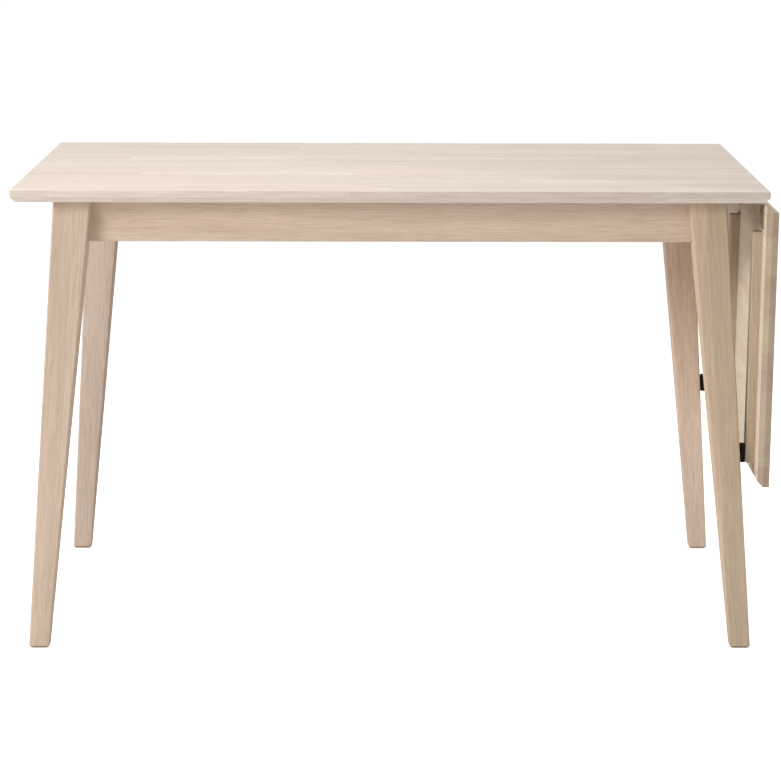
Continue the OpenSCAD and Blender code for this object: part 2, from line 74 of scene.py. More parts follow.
class TableSizes(bpy.types.PropertyGroup):
    """Sizes of the table's edges and boards, as in the solids"""
    edge_land: FloatProperty(name="Edge land", description="Height of the square part of the top's edge",
                             default=0.010, unit="LENGTH")
    edge_in: FloatProperty(name="Edge bevel", description="How far the bevel below the edge runs in",
                           default=0.009, unit="LENGTH")
    corner_radius: FloatProperty(name="Corner radius", description="Radius of the corners of the top",
                                 default=0.003, unit="LENGTH")
    arris: FloatProperty(name="Arris", description="Eased upper edges of the top and the leaf",
                         default=0.0008, unit="LENGTH")
    lower_arris: FloatProperty(name="Lower arris", description="Eased lower edges of the top and the leaf",
                               default=0.0006, unit="LENGTH")
    leaf_length: FloatProperty(name="Leaf length", description="Length of the leaf on its upper face",
                               default=0.443, unit="LENGTH")
    leaf_lean: FloatProperty(name="Leaf lean", description="Angle of the hanging leaf towards the legs",
                             default=math.radians(0.9), subtype="ANGLE")
    leaf_gap: FloatProperty(name="Leaf gap", description="Gap between the top and the raised leaf",
                            default=0.0014, unit="LENGTH")
    pin_drop: FloatProperty(name="Pin drop", description="From the underside down to the hinge pin",
                            default=0.0035, unit="LENGTH")
    leg_head: FloatProperty(name="Leg head", description="Side of a leg's section below the top",
                            default=0.0605, unit="LENGTH")
    leg_foot: FloatProperty(name="Leg foot", description="Side of a leg's section at the floor",
                            default=0.0325, unit="LENGTH")
    leg_set_head: FloatProperty(name="Leg inset, head", description="From the top's edge to the leg's head",
                                default=0.0625, unit="LENGTH")
    leg_set_foot: FloatProperty(name="Leg inset, foot", description="From the top's edge to the leg's foot",
                                default=0.016, unit="LENGTH")
    leg_round: FloatProperty(name="Leg edge radius", description="Radius of a leg's long edges",
                             default=0.0035, unit="LENGTH")
    foot_chamfer: FloatProperty(name="Foot chamfer", description="Chamfer round the foot",
                                default=0.003, unit="LENGTH")
    glide_proud: FloatProperty(name="Glide", description="How far a glide stands out of the foot",
                               default=0.001, unit="LENGTH")
    screw_head: FloatProperty(name="Screw head", description="Radius of a screw's head",
                              default=0.0036, unit="LENGTH")
    screw_head_height: FloatProperty(name="Screw head height", description="Height of a screw's head",
                                     default=0.0018, unit="LENGTH")
    screw_shank: FloatProperty(name="Screw shank", description="Radius of a screw's shank",
                               default=0.0018, unit="LENGTH")
    screw_point: FloatProperty(name="Screw point", description="Length of a screw's point",
                               default=0.003, unit="LENGTH")
    stave_width: FloatProperty(name="Stave width", description="Width of the staves of the top and the leaf",
                               default=0.0615, unit="LENGTH")
    stave_length: FloatProperty(name="Stave length", description="Usual length between finger joints",
                                default=0.42, unit="LENGTH")
    leg_strip: FloatProperty(name="Leg strip", description="Width of the strips that make a leg",
                             default=0.034, unit="LENGTH")


class TableColours(bpy.types.PropertyGroup):
    """Colours of the finishes"""
    top_light: FloatVectorProperty(name="Top, light", description="Pale wood of the top and the leaf's face",
                                   default=(0.725, 0.648, 0.580), subtype="COLOR", min=0, max=1)
    top_dark: FloatVectorProperty(name="Top, grain", description="Grain of the top and the leaf's face",
                                  default=(0.625, 0.550, 0.482), subtype="COLOR", min=0, max=1)
    leaf_light: FloatVectorProperty(name="Leaf, light", description="Wood of the leaf below its upper face",
                                    default=(0.81, 0.695, 0.555), subtype="COLOR", min=0, max=1)
    leaf_dark: FloatVectorProperty(name="Leaf, grain", description="Grain of the leaf below its upper face",
                                   default=(0.695, 0.58, 0.445), subtype="COLOR", min=0, max=1)
    frame_light: FloatVectorProperty(name="Frame, light", description="Wood of the legs and aprons",
                                     default=(0.70, 0.555, 0.42), subtype="COLOR", min=0, max=1)
    frame_dark: FloatVectorProperty(name="Frame, grain", description="Grain of the legs and aprons",
                                    default=(0.54, 0.41, 0.29), subtype="COLOR", min=0, max=1)
    hinge: FloatVectorProperty(name="Hinges", description="Plated steel of the hinges and their screws",
                               default=(0.52, 0.45, 0.34), subtype="COLOR", min=0, max=1)
    steel: FloatVectorProperty(name="Steel", description="Zinc-plated steel of the fittings below the top",
                               default=(0.60, 0.59, 0.56), subtype="COLOR", min=0, max=1)
    rubber: FloatVectorProperty(name="Rubber", description="Black rubber of the bumpers",
                                default=(0.006, 0.0055, 0.005), subtype="COLOR", min=0, max=1)


def sizes():
    """The sizes that are set in the sidebar"""
    return bpy.context.scene.table_sizes


def colours():
    """The colours that are set in the sidebar"""
    return bpy.context.scene.table_colours


def toned(colour, tone):
    """Colour times a tone, channel by channel"""
    return tuple(a * b for a, b in zip(colour, tone))


def opaque(colour):
    """Colour as a colour socket takes it"""
    return (*colour, 1.0)


class Nodes:
    """Short calls that add nodes to one node tree"""

    def __init__(self, tree):
        self.tree = tree

    def add(self, kind, inputs=None, **settings):
        """Node with its settings, and for each input a value or a socket to link from"""
        node = self.tree.nodes.new(kind)
        for key, value in settings.items():
            setattr(node, key, value)
        for key, value in (inputs or {}).items():
            self.set(node.inputs[key], value)
        return node

    def set(self, socket, value):
        """Gives an input a value or a link"""
        if isinstance(value, bpy.types.NodeSocket):
            self.tree.links.new(value, socket)
        else:
            socket.default_value = value

    def math(self, operation, a, b=0.0, c=0.0):
        node = self.add("ShaderNodeMath", operation=operation)
        for socket, value in zip(node.inputs, (a, b, c)):
            self.set(socket, value)
        return node.outputs[0]

    def vector(self, operation, a, b):
        return self.add("ShaderNodeVectorMath", {0: a, 1: b}, operation=operation).outputs[0]

    def object_place(self):
        return self.add("ShaderNodeTexCoord").outputs["Object"]

    def noise(self, place, spots, detail=2.0, roughness=0.5, distortion=0.0):
        """Noise with so many spots per metre along X, Y and Z"""
        scaled = self.vector("MULTIPLY", place, spots)
        node = self.add("ShaderNodeTexNoise", {"Vector": scaled, "Scale": 1.0, "Detail": detail,
                                               "Roughness": roughness, "Distortion": distortion})
        return node.outputs["Fac"]

    def fibres(self, place, across, along, detail=2.0, roughness=0.5, distortion=0.0):
        """Noise that is drawn out along Z, as wood is"""
        return self.noise(place, (across, across, along), detail, roughness, distortion)

    def random(self, x, y, z=0.0):
        """Three random values from 0 to 1 that go with three numbers"""
        cell = self.add("ShaderNodeCombineXYZ", {0: x, 1: y, 2: z})
        node = self.add("ShaderNodeTexWhiteNoise", {"Vector": cell.outputs[0]})
        return self.add("ShaderNodeSeparateColor", {0: node.outputs["Color"]}).outputs

    def span(self, value, low, high, to_low=0.0, to_high=1.0, smooth=False):
        """Maps low to high onto to_low to to_high, and stops at both ends"""
        node = self.add("ShaderNodeMapRange", {0: value, 1: low, 2: high, 3: to_low, 4: to_high})
        node.interpolation_type = "SMOOTHSTEP" if smooth else "LINEAR"
        return node.outputs[0]

    def spread(self, chance, low, high):
        """Turns a random value into one between low and high"""
        return self.span(chance, 0.0, 1.0, low, high)

    def mix(self, factor, a, b, blend="MIX"):
        node = self.add("ShaderNodeMix", data_type="RGBA", blend_type=blend)
        for socket, value in zip((node.inputs[0], node.inputs[6], node.inputs[7]), (factor, a, b)):
            self.set(socket, value)
        return node.outputs[2]

    def tint(self, colour, tone):
        """Colour times a tone, which is three values or a socket"""
        if not isinstance(tone, bpy.types.NodeSocket):
            tone = opaque(tone)
        return self.mix(1.0, colour, tone, "MULTIPLY")

    def bump(self, shader, height, strength, distance):
        """Gives a shader small dents and ridges"""
        node = self.add("ShaderNodeBump", {"Height": height, "Strength": strength, "Distance": distance})
        self.set(shader.inputs["Normal"], node.outputs[0])


def new_material(name):
    """Material with one shader, and the calls that add nodes to it"""
    material = bpy.data.materials.new(name)
    material.use_nodes = True
    material.node_tree.nodes.clear()
    nodes = Nodes(material.node_tree)
    out = nodes.add("ShaderNodeOutputMaterial")
    shader = nodes.add("ShaderNodeBsdfPrincipled")
    nodes.set(out.inputs["Surface"], shader.outputs[0])
    return material, nodes, shader


# Staves: how long they are against the usual length, how far a row may be shifted, in staves, and how
# light they are against the usual wood
STAVE_LENGTHS = (0.75, 1.3)
ROW_SHIFT = 17.0
STAVE_LEVELS = (0.90, 1.09)
# Keys that give rows and staves their own random values
ROW_KEY = 3.7
STAVE_KEYS = (1.3, 8.1)
# How far away in the wood a stave's own figure may be taken from, in metres
FIGURE_REACH = (3.0, 3.0, 5.0)
# The pith is this far beside a stave and below it, in metres, and slants this much to its length
PITH_SIDE = 0.07
PITH_DEPTHS = (0.015, 0.09)
SIDE_SLANT = 0.035
DEPTH_SLANT = 0.03
# Growth rings: radians per metre, how far they wander in metres, and how narrow the late wood is
RING_WAVES = (1250.0, 2300.0)
RING_WANDER = 0.016
LATE_WOOD = 2.2
# Tones of the dark strokes, of the pinkish and the straw-coloured staves, of the glue and of end grain
STROKE_TONE = (0.87, 0.845, 0.81)
PINKISH_TONE = (1.04, 0.98, 0.975)
STRAW_TONE = (0.97, 1.005, 0.965)
GLUE_TONE = (0.62, 0.52, 0.42)
END_TONE = (0.60, 0.555, 0.53)
END_RING_TONE = (0.46, 0.405, 0.375)
# A glue line fades from its middle to its edge, in metres from the joint
GLUE_LINE = (0.0001, 0.0006)
GLUE_STRENGTH = 0.10


def oak_staves(n, place, width, usual_length):
    """Rows of staves: the place counted in rows, the row, and six random values for each stave"""
    row_place = n.math("DIVIDE", place[0], width)
    row = n.math("FLOOR", row_place)
    row_chance = n.random(row, ROW_KEY)
    length = n.math("MULTIPLY", usual_length, n.spread(row_chance[1], *STAVE_LENGTHS))
    start = n.math("MULTIPLY", row_chance[0], ROW_SHIFT)
    column = n.math("FLOOR", n.math("ADD", n.math("DIVIDE", place[2], length), start))
    return row_place, row, [value for key in STAVE_KEYS for value in n.random(row, column, key)[:3]]


def growth_rings(n, place, from_middle, own, chance):
    """Late wood from 0 to 1, in rings round a pith beside the stave that slants a little to its length"""
    side = n.math("ADD", from_middle, n.spread(chance[0], -PITH_SIDE, PITH_SIDE))
    side = n.math("MULTIPLY_ADD", place[2], n.spread(chance[2], -SIDE_SLANT, SIDE_SLANT), side)
    depth = n.math("ADD", place[1], n.spread(chance[1], *PITH_DEPTHS))
    depth = n.math("MULTIPLY_ADD", place[2], n.spread(chance[3], -DEPTH_SLANT, DEPTH_SLANT), depth)
    radius = n.math("SQRT", n.math("ADD", n.math("POWER", side, 2.0), n.math("POWER", depth, 2.0)))
    radius = n.math("MULTIPLY_ADD", n.fibres(own, across=9.0, along=1.6), RING_WANDER, radius)
    wave = n.math("SINE", n.math("MULTIPLY", radius, n.spread(chance[4], *RING_WAVES)))
    return n.math("POWER", n.span(wave, -1.0, 1.0), LATE_WOOD)


def oak_group():
    """Node group for oak glued from staves: the vector's Z runs along the fibres, X across the staves"""
    group = bpy.data.node_groups.get("Oak")
    if group:
        return group
    group = bpy.data.node_groups.new("Oak", "ShaderNodeTree")
    for way, kind, names in (("INPUT", "Vector", ("Vector",)),
                             ("INPUT", "Float", ("Stave width", "Stave length", "Stave contrast", "End")),
                             ("INPUT", "Color", ("Light", "Dark")),
                             ("OUTPUT", "Color", ("Color",)),
                             ("OUTPUT", "Float", ("Roughness", "Height"))):
        for name in names:
            group.interface.new_socket(name, in_out=way, socket_type="NodeSocket" + kind)
    n = Nodes(group)
    given = n.add("NodeGroupInput").outputs
    width = given["Stave width"]
    place = n.add("ShaderNodeSeparateXYZ", {0: given["Vector"]}).outputs
    row_place, row, chance = oak_staves(n, place, width, given["Stave length"])
    # Each stave is drawn from its own part of the wood
    shift = n.add("ShaderNodeCombineXYZ", {i: n.math("MULTIPLY", chance[i], reach)
                                           for i, reach in enumerate(FIGURE_REACH)})
    own = n.vector("ADD", given["Vector"], shift.outputs[0])
    from_middle = n.math("MULTIPLY", n.math("SUBTRACT", row_place, n.math("ADD", row, 0.5)), width)
    ring = growth_rings(n, place, from_middle, own, chance)

    broad = n.fibres(own, across=38.0, along=1.4, detail=3.0, roughness=0.55)
    fine = n.fibres(own, across=330.0, along=9.0, detail=4.0, roughness=0.6)
    flecks = n.fibres(own, across=640.0, along=38.0, roughness=0.6)
    pores = n.fibres(own, across=2100.0, along=55.0, detail=1.0, roughness=0.4)
    pores = n.math("MULTIPLY", n.span(pores, 0.58, 0.70), n.span(ring, 0.0, 1.0, 0.35, 1.0))
    streak = 0.0
    for layer, weight in ((n.span(broad, 0.38, 0.74, smooth=True), 0.50), (n.span(fine, 0.35, 0.75), 0.26),
                          (ring, 0.10), (n.span(flecks, 0.54, 0.68), 0.34), (pores, 0.26)):
        streak = n.math("MULTIPLY_ADD", layer, weight, streak)
    streak = n.math("MINIMUM", streak, 1.0)
    colour = n.mix(streak, given["Light"], given["Dark"])
    strokes = n.fibres(own, across=400.0, along=17.0, detail=3.0, roughness=0.65, distortion=0.6)
    colour = n.mix(n.span(strokes, 0.40, 0.66), colour, n.tint(colour, STROKE_TONE))

    # Each stave has its own tone, from pinkish to straw, and from dark to light
    tone = n.mix(chance[2], opaque(PINKISH_TONE), opaque(STRAW_TONE))
    level = n.spread(chance[5], *STAVE_LEVELS)
    level = n.add("ShaderNodeCombineColor", {0: level, 1: level, 2: level}).outputs[0]
    strength = n.math("MAXIMUM", given["Stave contrast"], given["End"])
    colour = n.mix(strength, colour, n.tint(n.tint(colour, tone), level))

    # Thin glue lines between the staves
    off_middle = n.math("ABSOLUTE", n.math("SUBTRACT", n.math("SUBTRACT", row_place, row), 0.5))
    to_joint = n.math("MULTIPLY", n.math("SUBTRACT", 0.5, off_middle), width)
    glue = n.span(to_joint, *GLUE_LINE, GLUE_STRENGTH, 0.0)
    colour = n.mix(glue, colour, n.tint(colour, GLUE_TONE))

    # End grain soaks up more oil, so that it is darker and its rings show
    arcs = n.mix(n.math("MULTIPLY", ring, 0.5), opaque(END_TONE), opaque(END_RING_TONE))
    colour = n.mix(given["End"], colour, n.tint(colour, arcs))
    roughness = n.span(streak, 0.0, 1.0, 0.60, 0.76)
    height = n.math("MULTIPLY_ADD", pores, -0.6, n.math("MULTIPLY", fine, -0.35))
    n.add("NodeGroupOutput", {0: colour, 1: roughness, 2: height})
    return group


# Turns that bring a board's own length onto the pattern's fibres
ALONG_X = (0.0, math.pi / 2, 0.0)
ALONG_Y = (math.pi / 2, 0.0, 0.0)
ALONG_Z = (0.0, 0.0, 0.0)
# Longer than any board, so that it has no finger joint, and wider than any, so that it has no glue line
UNJOINTED = 6.0
APRON_STAVE = 0.35
BAR_STAVE = 0.33
# Where in the wood the boards are cut from, across the staves and along them, so that no two look alike
TOP_CUT = (0.4, 3.0)
LEAF_CUT = (1.0047, 7.0)
LEG_CUT_STEP = (0.34, 2.0)
APRON_CUT = (5.0, 0.03, 0.1)
BATTEN_CUT = (2.0, 0.0, 0.1)
BAR_CUT = (3.0, 0.0, 0.1)
# The leaf's pale face fades into its warmer edge between these depths, in metres
PIGMENT_DEPTHS = (-0.0006, -0.0002)
# How much the staves of a board differ in tone
TOP_CONTRAST = 0.45
LEAF_CONTRAST = 0.6
FRAME_CONTRAST = 0.7
# Tones that the frame's colours are multiplied by for each leg and for the aprons, and for the battens an
# even darkening that is painted shade
LEG_TONES = {"front_left": (0.90, 0.93, 0.97), "front_right": (0.945, 0.935, 0.925),
             "rear_left": (0.96, 0.97, 1.10), "rear_right": (1.13, 1.12, 1.23)}
APRON_TONE = (0.955, 0.965, 1.03)
BATTEN_PAINTED_SHADE = (0.79, 0.79, 0.79)
# How much darker the hinge and batten screws are than the hinges, and how dull patches of steel and dusty
# rubber differ from the clean metal or rubber
SCREW_DARKENING = (0.2, 0.2, 0.2)
DULLED = (0.82, 0.82, 0.82)
DUSTY = (2.2, 2.2, 2.2)


def oak_material(name, light, dark, width, length, contrast, turn=None, shift=(0.0, 0.0, 0.0), upper=None):
    """Oak whose fibres follow the piece's own grain attribute, or with a turn and a shift the object's axes.
    The upper face may have two other colours"""
    material, n, shader = new_material(name)
    if turn is None:
        vector = n.add("ShaderNodeAttribute", attribute_name="grain").outputs["Vector"]
    else:
        vector = n.add("ShaderNodeMapping", {"Vector": n.object_place(), "Rotation": turn,
                                             "Location": shift}).outputs[0]
    end = n.add("ShaderNodeAttribute", attribute_name="end_grain").outputs["Fac"]
    light, dark = opaque(light), opaque(dark)
    if upper:
        depth = n.add("ShaderNodeSeparateXYZ", {0: vector}).outputs[1]
        near = n.span(depth, *PIGMENT_DEPTHS)
        light, dark = n.mix(near, light, opaque(upper[0])), n.mix(near, dark, opaque(upper[1]))
    oak = n.add("ShaderNodeGroup", node_tree=oak_group())
    for key, value in (("Vector", vector), ("Stave width", width), ("Stave length", length),
                       ("Stave contrast", contrast), ("End", end), ("Light", light), ("Dark", dark)):
        n.set(oak.inputs[key], value)
    n.set(shader.inputs["Base Color"], oak.outputs["Color"])
    n.set(shader.inputs["Roughness"], oak.outputs["Roughness"])
    n.set(shader.inputs["Specular IOR Level"], 0.25)
    n.bump(shader, oak.outputs["Height"], 0.35, 0.0004)
    return material


def steel_material(name, colour, marks_per_metre=(40.0, 900.0, 40.0)):
    """Plated steel with fine rolling marks and a few dull patches"""
    material, n, shader = new_material(name)
    place = n.object_place()
    marks = n.noise(place, marks_per_metre, detail=3.0)
    patches = n.noise(place, (60.0, 60.0, 60.0), detail=3.0)
    n.set(shader.inputs["Base Color"], n.mix(n.span(patches, 0.3, 0.7), opaque(colour),
                                             opaque(toned(colour, DULLED))))
    n.set(shader.inputs["Metallic"], 1.0)
    n.set(shader.inputs["Roughness"], n.span(marks, 0.25, 0.75, 0.28, 0.46))
    n.bump(shader, marks, 0.2, 0.0001)
    return material


def rubber_material(name, colour, roughness=0.7):
    """Matt moulded rubber or plastic with a fine skin and some dust"""
    material, n, shader = new_material(name)
    place = n.object_place()
    skin = n.noise(place, (1500.0, 1500.0, 1500.0))
    dust = n.noise(place, (90.0, 90.0, 90.0), detail=4.0, roughness=0.6)
    n.set(shader.inputs["Base Color"], n.mix(n.span(dust, 0.45, 0.8, 0.0, 0.5), opaque(colour),
                                             opaque(toned(colour, DUSTY))))
    n.set(shader.inputs["Roughness"], n.span(skin, 0.2, 0.8, roughness - 0.08, roughness + 0.08))
    n.set(shader.inputs["Specular IOR Level"], 0.2)
    n.bump(shader, skin, 0.3, 0.0001)
    return material


def dress(nodes, material):
    """Gives CAD nodes a material"""
    for name in nodes:
        data = frame["nodes"][name].data
        data.materials.clear()
        data.materials.append(material)


def write_grain(bm, grain):
    """Writes where the grain runs at each vertex, and marks the faces that cut across it"""
    step = 0.001
    least_share = 0.4
    layer = bm.verts.layers.float_vector.new("grain")
    ends = bm.faces.layers.float.new("end_grain")
    for vert in bm.verts:
        vert[layer] = grain(vert.co)
    # A face is end grain where a step out of it goes far enough along the fibres
    for face in bm.faces:
        middle = face.calc_center_median()
        along = (grain(middle + step * face.normal) - grain(middle)).z / step
        if along ** 2 > least_share:
            face[ends] = 1.0


def finish_piece(bm, name, material, nodes, body, slot, grain=None):
    """Makes the object and puts it in place of its CAD nodes"""
    bmesh.ops.recalc_face_normals(bm, faces=bm.faces)
    if grain:
        write_grain(bm, grain)
    mesh = bpy.data.meshes.new(name)
    bm.to_mesh(mesh)
    bm.free()
    mesh.shade_smooth()
    mesh.set_sharp_from_angle(angle=math.radians(30))
    mesh.materials.append(material)
    piece = bpy.data.objects.new(name, mesh)
    bpy.context.collection.objects.link(piece)
    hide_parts(*nodes)
    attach(piece, body)


def box_mesh(low, high):
    """Box between two corners"""
    bm = bmesh.new()
    low, high = Vector(low), Vector(high)
    bmesh.ops.create_cube(bm, size=1.0)
    bmesh.ops.scale(bm, vec=high - low, verts=bm.verts)
    bmesh.ops.translate(bm, vec=(low + high) / 2, verts=bm.verts)
    return bm


def ease(bm, edges, radius, segments):
    """Rounds edges, as sanding does"""
    bmesh.ops.bevel(bm, geom=edges, offset=radius, offset_type="OFFSET", segments=segments,
                    profile=0.5, affect="EDGES", clamp_overlap=True, material=-1)


def upright_edges(bm):
    """Edges of a box that run up its sides"""
    return [e for e in bm.edges if abs(e.verts[0].co.z - e.verts[1].co.z) > e.calc_length() / 2]


def sharp_edges(bm):
    """Edges where two faces meet at more than 25 degrees"""
    return [e for e in bm.edges if e.is_manifold and e.calc_face_angle(0) > math.radians(25)]


def cut(bm, point, normal, trim=False):
    """Cuts along a plane, and with trim takes away what lies beyond it and closes the cut"""
    made = bmesh.ops.bisect_plane(bm, geom=bm.verts[:] + bm.edges[:] + bm.faces[:], dist=SAME_POINT,
                                  plane_co=point, plane_no=normal, clear_outer=trim)["geom_cut"]
    if trim:
        bmesh.ops.edgeloop_fill(bm, edges=[part for part in made if isinstance(part, bmesh.types.BMEdge)])


def bevelled_board(start, end, start_in, end_in):
    """Board with its upper face at z = 0, a square land and a bevel below, which may run out at the start"""
    size = sizes()
    land = -size.edge_land
    drop = THICK - size.edge_land
    bm = box_mesh((start, -HALF_W, -THICK), (end, HALF_W, 0))
    ease(bm, [e for e in upright_edges(bm) if start_in > 0 or e.verts[0].co.x > start + ON_PLANE],
         size.corner_radius, 4)
    for side in (-1, 1):
        cut(bm, (0, side * HALF_W, land), (0, side * drop, -size.edge_in), trim=True)
    cut(bm, (end, 0, land), (drop, 0, -end_in), trim=True)
    if start_in > 0:
        cut(bm, (start, 0, land), (-drop, 0, -start_in), trim=True)
    else:
        cut(bm, (0, 0, land), (0, 0, 1))
        low = [v for v in bm.verts if v.co.x < start + ON_PLANE and v.co.z < land - ON_PLANE]
        bmesh.ops.translate(bm, vec=(start_in, 0, 0), verts=low)
    bmesh.ops.dissolve_limit(bm, angle_limit=math.radians(1), verts=bm.verts, edges=bm.edges)
    ease(bm, [e for e in sharp_edges(bm) if min(v.co.z for v in e.verts) > -ON_PLANE], size.arris, 3)
    ease(bm, [e for e in sharp_edges(bm) if max(v.co.z for v in e.verts) < -THICK + ON_PLANE],
         size.lower_arris, 2)
    return bm


class TABLE_OT_top(bpy.types.Operator):
    """Fixed top with its bevelled edge, glued from staves that run along the table"""
    bl_idname = "table.top"
    bl_label = "Fixed top"

    def execute(self, context):
        size, colour = sizes(), colours()
        bm = bevelled_board(TOP_LOW[0], TOP_HIGH[0], size.edge_in, size.edge_in)
        bmesh.ops.translate(bm, vec=(0, 0, TOP_HIGH[2]), verts=bm.verts)
        oak = oak_material("oak_top", colour.top_light, colour.top_dark, size.stave_width,
                           size.stave_length, TOP_CONTRAST)
        finish_piece(bm, "top_board", oak, ["table_top"], "table", "top_oak",
                     lambda p: Vector((p.y + TOP_CUT[0], p.z - TOP_HIGH[2], p.x + TOP_CUT[1])))
        return {"FINISHED"}


def leaf_matrix():
    """From the flat leaf, upper face at z = 0 and hinged edge at x = 0, to its hanging place"""
    size = sizes()
    lift = Matrix.Translation((size.leaf_gap / 2 + size.edge_in, 0, size.pin_drop + THICK))
    return Matrix.Translation(LEAF_HINGE) @ Matrix.Rotation(size.leaf_lean + math.pi / 2, 4, "Y") @ lift


class TABLE_OT_leaf(bpy.types.Operator):
    """Hanging leaf, glued from staves that run across the table, with an upper face as pale as the top"""
    bl_idname = "table.leaf"
    bl_label = "Leaf"

    def execute(self, context):
        size, colour = sizes(), colours()
        bm = bevelled_board(0.0, size.leaf_length, -size.edge_in, size.edge_in)
        place = leaf_matrix()
        flat = place.inverted()
        bmesh.ops.transform(bm, matrix=place, verts=bm.verts)
        oak = oak_material("oak_leaf", colour.leaf_light, colour.leaf_dark, size.stave_width,
                           size.stave_length, LEAF_CONTRAST, upper=(colour.top_light, colour.top_dark))

        def grain(p):
            p = flat @ p
            return Vector((p.x + LEAF_CUT[0], p.z, p.y + LEAF_CUT[1]))
        finish_piece(bm, "leaf_board", oak, ["leaf_panel"], "leaf", "top_oak", grain)
        return {"FINISHED"}


# Heights of the rings that a leg's taper is spread at
LEG_RINGS = (0.2, 0.4, 0.6)


def leg_out(z):
    """Where a leg's outer faces are at a height, from the top's edge outwards"""
    size = sizes()
    return -size.leg_set_head + (size.leg_set_head - size.leg_set_foot) * (UNDER_Z - z) / UNDER_Z


def leg_side(z):
    """Side of a leg's section at a height"""
    size = sizes()
    return size.leg_head + (size.leg_foot - size.leg_head) * (UNDER_Z - z) / UNDER_Z


def leg_mesh(sx, sy):
    """Tapered and splayed leg: a slim square bar with rounded edges, whose rings are spread to their size"""
    size = sizes()
    knee = size.glide_proud + size.foot_chamfer
    slim = leg_side(knee) - 2 * size.foot_chamfer
    bm = box_mesh((-slim / 2, -slim / 2, size.glide_proud), (slim / 2, slim / 2, UNDER_Z))
    ease(bm, upright_edges(bm), size.leg_round, 5)
    for ring_z in (knee, *LEG_RINGS):
        cut(bm, (0, 0, ring_z), (0, 0, 1))
    for vert in bm.verts:
        z = max(vert.co.z, knee)
        more = (leg_side(z) - slim) / 2 if vert.co.z > knee - ON_PLANE else 0
        centre = leg_out(z) - leg_side(z) / 2
        vert.co.x += math.copysign(more, vert.co.x) + MID_X + sx * (HALF_L + centre)
        vert.co.y += math.copysign(more, vert.co.y) + sy * (HALF_W + centre)
    return bm


class TABLE_OT_legs(bpy.types.Operator):
    """Four splayed legs, each glued from two or three strips"""
    bl_idname = "table.legs"
    bl_label = "Legs"

    def execute(self, context):
        size, colour = sizes(), colours()
        for i, (corner, (sx, sy)) in enumerate(CORNERS.items()):
            tone = LEG_TONES[corner]
            light, dark = toned(colour.frame_light, tone), toned(colour.frame_dark, tone)
            oak = oak_material(f"oak_leg_{corner}", light, dark, size.leg_strip, UNJOINTED, FRAME_CONTRAST)

            def grain(p, sx=sx, sy=sy, i=i):
                return Vector((HALF_L + leg_out(p.z) - sx * (p.x - MID_X) + LEG_CUT_STEP[0] * i,
                               HALF_W + leg_out(p.z) - sy * p.y, p.z + LEG_CUT_STEP[1] * i))
            finish_piece(leg_mesh(sx, sy), f"leg_board_{corner}", oak, [f"leg_{corner}"], "table",
                         "frame_oak", grain)
        return {"FINISHED"}


class TABLE_OT_aprons(bpy.types.Operator):
    """Wood of the aprons and the cross rail, whose fibres run along each board"""
    bl_idname = "table.aprons"
    bl_label = "Aprons"

    def execute(self, context):
        colour = colours()
        light, dark = toned(colour.frame_light, APRON_TONE), toned(colour.frame_dark, APRON_TONE)
        across, depth, along = APRON_CUT
        for i, (name, turn) in enumerate((("apron_front", ALONG_X), ("apron_rear", ALONG_X),
                                          ("apron_left", ALONG_Y), ("apron_right", ALONG_Y),
                                          ("cross_rail", ALONG_Y))):
            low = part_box(name)[0]
            face = low[1] if turn == ALONG_X else low[0]
            oak = oak_material(f"oak_{name}", light, dark, APRON_STAVE, UNJOINTED, FRAME_CONTRAST,
                               turn, (across + i, depth - face, along + i))
            dress([name], oak)
        return {"FINISHED"}


class TABLE_OT_battens(bpy.types.Operator):
    """Battens on the leaf with their rubber bumpers, and the pull-out support bars"""
    bl_idname = "table.battens"
    bl_label = "Battens and bars"

    def execute(self, context):
        colour = colours()
        # The battens' colours are the frame's, darkened evenly as painted shade
        light, dark = toned(colour.frame_light, BATTEN_PAINTED_SHADE), toned(colour.frame_dark, BATTEN_PAINTED_SHADE)
        upright = oak_material("oak_battens_painted_shade", light, dark, BAR_STAVE, UNJOINTED, FRAME_CONTRAST,
                               ALONG_Z, BATTEN_CUT)
        dress(["batten_front", "batten_middle", "batten_rear"], upright)
        along = oak_material("oak_bars", colour.frame_light, colour.frame_dark, BAR_STAVE, UNJOINTED,
                             FRAME_CONTRAST, ALONG_X, BAR_CUT)
        dress(["loper_front", "loper_rear", "stop_pin_front", "stop_pin_rear"], along)
        dress(["bumper_front", "bumper_rear"], rubber_material("bumper_rubber", colour.rubber))
        return {"FINISHED"}


# Shares of a screw's own sizes: a pan head's flat top, the cross recess and the end of the point
PAN_FLAT = 0.7
RECESS_ARM = 0.62
RECESS_HALF_WIDTH = 0.15
RECESS_DEPTH = 0.6
RECESS_FLOOR = 0.75
POINT_END = 0.15
# Each screw stops this much further round than the one before it, in radians
SCREW_TURN = 2.4


def islands(bm):
    """Vertices that hang together, one group for each solid"""
    left = dict.fromkeys(bm.verts)
    while left:
        found = [left.popitem()[0]]
        for vert in found:
            for edge in vert.link_edges:
                other = edge.other_vert(vert)
                if other in left:
                    del left[other]
                    found.append(other)
        yield found


def screw_places(name):
    """For each screw of a CAD node the middle of its head's top, the way out of the head, and its length"""
    bm = bmesh.new()
    bm.from_mesh(frame["nodes"][name].data)
    bmesh.ops.remove_doubles(bm, verts=bm.verts, dist=1e-6)
    places = []
    for verts in islands(bm):
        points = np.array([vert.co[:] for vert in verts])
        centre = points.mean(axis=0)
        axis = np.linalg.svd(points - centre)[2][0]
        along = (points - centre) @ axis
        beside = np.linalg.norm(points - centre - np.outer(along, axis), axis=1)
        if beside[along < 0].max() > beside[along > 0].max():
            axis, along = -axis, -along
        places.append((Vector(centre + axis * along.max()), Vector(axis), float(np.ptp(along))))
    bm.free()
    return sorted(places, key=lambda place: tuple(round(v, 4) for v in place[0]))


